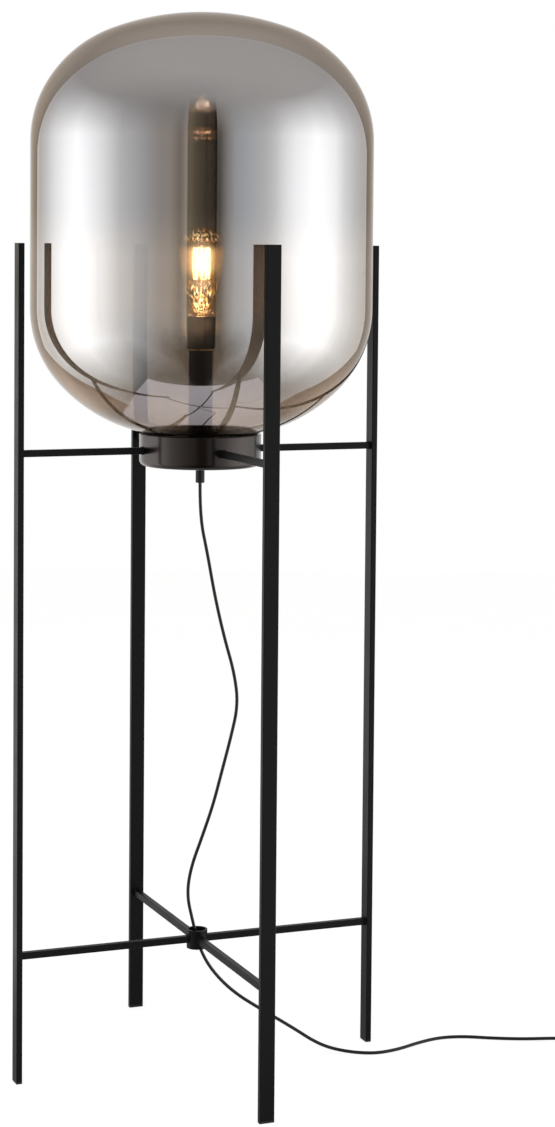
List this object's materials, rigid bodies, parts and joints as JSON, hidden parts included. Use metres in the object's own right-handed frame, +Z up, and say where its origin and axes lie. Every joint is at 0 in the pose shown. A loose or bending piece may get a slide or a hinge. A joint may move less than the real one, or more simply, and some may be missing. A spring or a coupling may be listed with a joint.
{
  "type": "globe floor lamp",
  "caption": "Floor lamp with a tall half-mirrored smoked glass on a black canister, carried by flat legs with cross bars, and a hanging cord with foot switch and plug.",
  "frame": {"origin": "on the floor, at the middle of the four legs, on the glass's own axis", "axes": "+Z up; the legs stand on +X, -X, +Y and -Y; the cord leaves towards +X and slightly -Y"},
  "size_m": [0.9106, 0.508, 1.4013],
  "materials": {
    "black_coat": "satin black powder coat on steel",
    "black_plastic": "moulded black nylon",
    "grey_plastic": "moulded dark grey ABS",
    "rubber": "moulded black rubber",
    "cord_pvc": "extruded black PVC sheath",
    "smoked_glass": "blown glass with a half-mirrored smoke coating",
    "amber_glass": "blown amber-tinted bulb glass",
    "clear_glass": "drawn clear glass",
    "black_glass": "fused black glass insulator",
    "brass": "rolled brass",
    "zinc_steel": "zinc-plated steel",
    "ceramic": "glazed white steatite",
    "glow_wire": "glowing carbon filament",
    "lead_insulation": "brown and blue lead insulation"
  },
  "bodies": {
    "frame": {"canister": "black_coat", "centre_contact": "brass", "cord_coil": "cord_pvc", "cord_grip": "black_plastic", "cord_in_grip": "cord_pvc", "cord_link": "cord_pvc", "cord_run": "cord_pvc", "cord_tail": "cord_pvc", "cover_plate": "zinc_steel", "cross_bar_back": "black_coat", "cross_bar_front": "black_coat", "cross_bar_left": "black_coat", "cross_bar_right": "black_coat", "foot_glides": "black_plastic", "glass_gasket": "rubber", "grip_locknut": "black_plastic", "holder_base": "zinc_steel", "holder_insert": "ceramic", "holder_leads": "lead_insulation", "holder_sleeve": "black_coat", "holder_trim_ring": "brass", "hub_ring": "black_coat", "leg_back": "black_coat", "leg_end_caps": "black_coat", "leg_front": "black_coat", "leg_left": "black_coat", "leg_right": "black_coat", "nipple_nuts": "zinc_steel", "plate_pillars": "zinc_steel", "plate_screws": "zinc_steel", "plug_body": "black_plastic", "plug_pin_sleeves": "black_plastic", "plug_pins": "zinc_steel", "plug_relief": "rubber", "stem_tube": "black_coat", "supply_leads": "lead_insulation", "switch_base": "black_plastic", "switch_contacts": "brass", "switch_cover": "black_plastic", "switch_reliefs": "rubber", "switch_screws": "zinc_steel", "switch_spring": "zinc_steel", "terminal_block": "black_plastic", "terminal_screws": "zinc_steel", "thread_shell": "brass", "threaded_nipple": "zinc_steel", "upper_arm_back": "black_coat", "upper_arm_front": "black_coat", "upper_arm_left": "black_coat", "upper_arm_right": "black_coat"},
    "shade": {"glass_shade": "smoked_glass"},
    "bulb": {"bulb_cap": "brass", "bulb_tip": "brass", "bulb_insulator": "black_glass", "bulb_glass": "amber_glass", "bulb_mount": "clear_glass", "filament": "glow_wire", "filament_hooks": "zinc_steel", "filament_leads": "zinc_steel"},
    "button": {"switch_button": "grey_plastic"}
  },
  "joints": [
    {"name": "shade_lift", "type": "slide", "parent": "frame", "child": "shade", "axis": [0, 0, 1], "range_m": [0, 0.31]},
    {"name": "bulb_unscrew", "type": "slide", "parent": "frame", "child": "bulb", "axis": [0, 0, 1], "range_m": [0, 0.03]},
    {"name": "button_press", "type": "slide", "parent": "frame", "child": "button", "axis": [0, 0, -1], "range_m": [0, 0.0025], "stiffness_N_per_m": 400, "springref_m": -0.001, "deforming": ["switch_spring"]}
  ]
}
